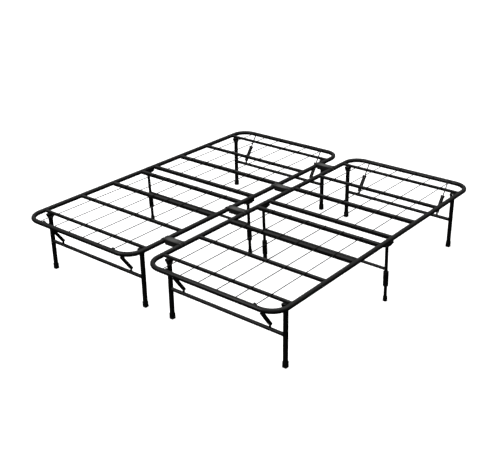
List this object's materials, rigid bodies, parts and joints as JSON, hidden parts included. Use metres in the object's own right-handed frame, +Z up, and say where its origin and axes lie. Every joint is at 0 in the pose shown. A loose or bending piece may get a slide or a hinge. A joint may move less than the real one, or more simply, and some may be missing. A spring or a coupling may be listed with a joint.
{
  "type": "folding metal bed frame",
  "caption": "Black steel platform bed frame made of twin bi-fold halves clipped side by side, with wire deck, folding braced legs and a leg stand under the fold.",
  "frame": {"origin": "on the floor under the middle of the bed", "axes": "+X across the bed to the right platform, +Y along the bed to the head, +Z up"},
  "size_m": [1.8768, 2.033, 0.3938],
  "materials": {
    "tube_steel": "black powder coat on bent round steel tube, satin",
    "bar_steel": "black powder coat on square steel bars, wires and brackets, satin",
    "leg_steel": "black powder coat on steel legs and stand, satin",
    "brace_steel": "black powder coat on folded steel strip, satin",
    "clip_plastic": "moulded charcoal plastic with a fine grain",
    "cap_plastic": "moulded black plastic, matt"
  },
  "bodies": {
    "foot_decks": {"rail_left_foot": "tube_steel", "end_bar_left_foot": "bar_steel", "slats_left_foot": "bar_steel", "rail_right_foot": "tube_steel", "end_bar_right_foot": "bar_steel", "slats_right_foot": "bar_steel"},
    "stand_left": {"centre_stand_left": "leg_steel", "fold_bracket_left_outer": "bar_steel", "fold_bracket_left_inner": "bar_steel", "stand_cap_left_outer": "cap_plastic", "stand_cap_left_inner": "cap_plastic"},
    "head_deck_left": {"rail_left_head": "tube_steel", "end_bar_left_head": "bar_steel", "slats_left_head": "bar_steel"},
    "sleeve_left_outer": {"stand_sleeve_left_outer": "leg_steel"},
    "sleeve_left_inner": {"stand_sleeve_left_inner": "leg_steel"},
    "stand_right": {"centre_stand_right": "leg_steel", "fold_bracket_right_outer": "bar_steel", "fold_bracket_right_inner": "bar_steel", "stand_cap_right_outer": "cap_plastic", "stand_cap_right_inner": "cap_plastic"},
    "head_deck_right": {"rail_right_head": "tube_steel", "end_bar_right_head": "bar_steel", "slats_right_head": "bar_steel"},
    "sleeve_right_outer": {"stand_sleeve_right_outer": "leg_steel"},
    "sleeve_right_inner": {"stand_sleeve_right_inner": "leg_steel"},
    "legs_left_foot": {"leg_frame_left_foot": "leg_steel", "leg_cap_left_foot_outer": "cap_plastic", "leg_cap_left_foot_inner": "cap_plastic"},
    "brace_links_left_foot": {"brace_link_left_foot_outer": "brace_steel", "brace_link_left_foot_inner": "brace_steel"},
    "brace_channels_left_foot": {"brace_channel_left_foot_outer": "brace_steel", "brace_channel_left_foot_inner": "brace_steel"},
    "legs_right_foot": {"leg_frame_right_foot": "leg_steel", "leg_cap_right_foot_outer": "cap_plastic", "leg_cap_right_foot_inner": "cap_plastic"},
    "brace_links_right_foot": {"brace_link_right_foot_outer": "brace_steel", "brace_link_right_foot_inner": "brace_steel"},
    "brace_channels_right_foot": {"brace_channel_right_foot_outer": "brace_steel", "brace_channel_right_foot_inner": "brace_steel"},
    "legs_left_head": {"leg_frame_left_head": "leg_steel", "leg_cap_left_head_outer": "cap_plastic", "leg_cap_left_head_inner": "cap_plastic"},
    "brace_links_left_head": {"brace_link_left_head_outer": "brace_steel", "brace_link_left_head_inner": "brace_steel"},
    "brace_channels_left_head": {"brace_channel_left_head_outer": "brace_steel", "brace_channel_left_head_inner": "brace_steel"},
    "legs_right_head": {"leg_frame_right_head": "leg_steel", "leg_cap_right_head_outer": "cap_plastic", "leg_cap_right_head_inner": "cap_plastic"},
    "brace_links_right_head": {"brace_link_right_head_outer": "brace_steel", "brace_link_right_head_inner": "brace_steel"},
    "brace_channels_right_head": {"brace_channel_right_head_outer": "brace_steel", "brace_channel_right_head_inner": "brace_steel"},
    "clip_foot_end": {"rail_clip_foot_end": "clip_plastic"},
    "clip_foot_middle": {"rail_clip_foot_middle": "clip_plastic"},
    "clip_head_middle": {"rail_clip_head_middle": "clip_plastic"},
    "clip_head_end": {"rail_clip_head_end": "clip_plastic"}
  },
  "joints": [
    {"name": "fold_left", "type": "hinge", "parent": "foot_decks", "child": "stand_left", "pos_m": [-0.49, -0.036, 0.3615], "axis": [-1, 0, 0], "range_deg": [0, 90]},
    {"name": "head_fold_left", "type": "hinge", "parent": "stand_left", "child": "head_deck_left", "pos_m": [-0.49, 0.036, 0.3615], "axis": [-1, 0, 0], "range_deg": [0, 90]},
    {"name": "sleeve_slide_left_outer", "type": "slide", "parent": "stand_left", "child": "sleeve_left_outer", "axis": [0, 0.0455, -0.999], "range_m": [0, 0.064]},
    {"name": "sleeve_slide_left_inner", "type": "slide", "parent": "stand_left", "child": "sleeve_left_inner", "axis": [0, 0.0455, -0.999], "range_m": [0, 0.064]},
    {"name": "fold_right", "type": "hinge", "parent": "foot_decks", "child": "stand_right", "pos_m": [0.49, -0.036, 0.3615], "axis": [-1, 0, 0], "range_deg": [0, 90]},
    {"name": "head_fold_right", "type": "hinge", "parent": "stand_right", "child": "head_deck_right", "pos_m": [0.49, 0.036, 0.3615], "axis": [-1, 0, 0], "range_deg": [0, 90]},
    {"name": "sleeve_slide_right_outer", "type": "slide", "parent": "stand_right", "child": "sleeve_right_outer", "axis": [0, 0.0455, -0.999], "range_m": [0, 0.064]},
    {"name": "sleeve_slide_right_inner", "type": "slide", "parent": "stand_right", "child": "sleeve_right_inner", "axis": [0, 0.0455, -0.999], "range_m": [-0.064, 0]},
    {"name": "leg_fold_left_foot", "type": "hinge", "parent": "foot_decks", "child": "legs_left_foot", "pos_m": [-0.49, -0.866, 0.34], "axis": [1, 0, 0], "range_deg": [0, 90]},
    {"name": "brace_link_pivot_left_foot", "type": "hinge", "parent": "foot_decks", "child": "brace_links_left_foot", "pos_m": [-0.49, -0.983, 0.381], "axis": [1, 0, 0], "range_deg": [0, 45]},
    {"name": "brace_channel_pivot_left_foot", "type": "hinge", "parent": "legs_left_foot", "child": "brace_channels_left_foot", "pos_m": [-0.49, -0.866, 0.21602], "axis": [-1, 0, 0], "range_deg": [0, 45]},
    {"name": "leg_fold_right_foot", "type": "hinge", "parent": "foot_decks", "child": "legs_right_foot", "pos_m": [0.49, -0.866, 0.34], "axis": [1, 0, 0], "range_deg": [0, 90]},
    {"name": "brace_link_pivot_right_foot", "type": "hinge", "parent": "foot_decks", "child": "brace_links_right_foot", "pos_m": [0.49, -0.983, 0.381], "axis": [1, 0, 0], "range_deg": [0, 45]},
    {"name": "brace_channel_pivot_right_foot", "type": "hinge", "parent": "legs_right_foot", "child": "brace_channels_right_foot", "pos_m": [0.49, -0.866, 0.21602], "axis": [-1, 0, 0], "range_deg": [0, 45]},
    {"name": "leg_fold_left_head", "type": "hinge", "parent": "head_deck_left", "child": "legs_left_head", "pos_m": [-0.49, 0.866, 0.34], "axis": [-1, 0, 0], "range_deg": [0, 90]},
    {"name": "brace_link_pivot_left_head", "type": "hinge", "parent": "head_deck_left", "child": "brace_links_left_head", "pos_m": [-0.49, 0.983, 0.381], "axis": [-1, 0, 0], "range_deg": [0, 45]},
    {"name": "brace_channel_pivot_left_head", "type": "hinge", "parent": "legs_left_head", "child": "brace_channels_left_head", "pos_m": [-0.49, 0.866, 0.21602], "axis": [1, 0, 0], "range_deg": [0, 45]},
    {"name": "leg_fold_right_head", "type": "hinge", "parent": "head_deck_right", "child": "legs_right_head", "pos_m": [0.49, 0.866, 0.34], "axis": [-1, 0, 0], "range_deg": [0, 90]},
    {"name": "brace_link_pivot_right_head", "type": "hinge", "parent": "head_deck_right", "child": "brace_links_right_head", "pos_m": [0.49, 0.983, 0.381], "axis": [-1, 0, 0], "range_deg": [0, 45]},
    {"name": "brace_channel_pivot_right_head", "type": "hinge", "parent": "legs_right_head", "child": "brace_channels_right_head", "pos_m": [0.49, 0.866, 0.21602], "axis": [1, 0, 0], "range_deg": [0, 45]},
    {"name": "clip_lift_foot_end", "type": "slide", "parent": "foot_decks", "child": "clip_foot_end", "axis": [0, 0, 1], "range_m": [0, 0.05]},
    {"name": "clip_lift_foot_middle", "type": "slide", "parent": "foot_decks", "child": "clip_foot_middle", "axis": [0, 0, 1], "range_m": [0, 0.05]},
    {"name": "clip_lift_head_middle", "type": "slide", "parent": "head_deck_left", "child": "clip_head_middle", "axis": [0, 0, 1], "range_m": [0, 0.05]},
    {"name": "clip_lift_head_end", "type": "slide", "parent": "head_deck_left", "child": "clip_head_end", "axis": [0, 0, 1], "range_m": [0, 0.05]}
  ],
  "couplings": [
    {"joint": "fold_right", "follows": "fold_left", "ratio": 1},
    {"joint": "head_fold_left", "follows": "fold_left", "ratio": 1},
    {"joint": "head_fold_right", "follows": "fold_left", "ratio": 1},
    {"joint": "leg_fold_left_foot", "follows": "fold_left", "ratio": 1},
    {"joint": "brace_link_pivot_left_foot", "follows": "fold_left", "ratio": 0.5},
    {"joint": "brace_channel_pivot_left_foot", "follows": "fold_left", "ratio": 0.5},
    {"joint": "leg_fold_right_foot", "follows": "fold_left", "ratio": 1},
    {"joint": "brace_link_pivot_right_foot", "follows": "fold_left", "ratio": 0.5},
    {"joint": "brace_channel_pivot_right_foot", "follows": "fold_left", "ratio": 0.5},
    {"joint": "leg_fold_left_head", "follows": "fold_left", "ratio": 1},
    {"joint": "brace_link_pivot_left_head", "follows": "fold_left", "ratio": 0.5},
    {"joint": "brace_channel_pivot_left_head", "follows": "fold_left", "ratio": 0.5},
    {"joint": "leg_fold_right_head", "follows": "fold_left", "ratio": 1},
    {"joint": "brace_link_pivot_right_head", "follows": "fold_left", "ratio": 0.5},
    {"joint": "brace_channel_pivot_right_head", "follows": "fold_left", "ratio": 0.5}
  ]
}
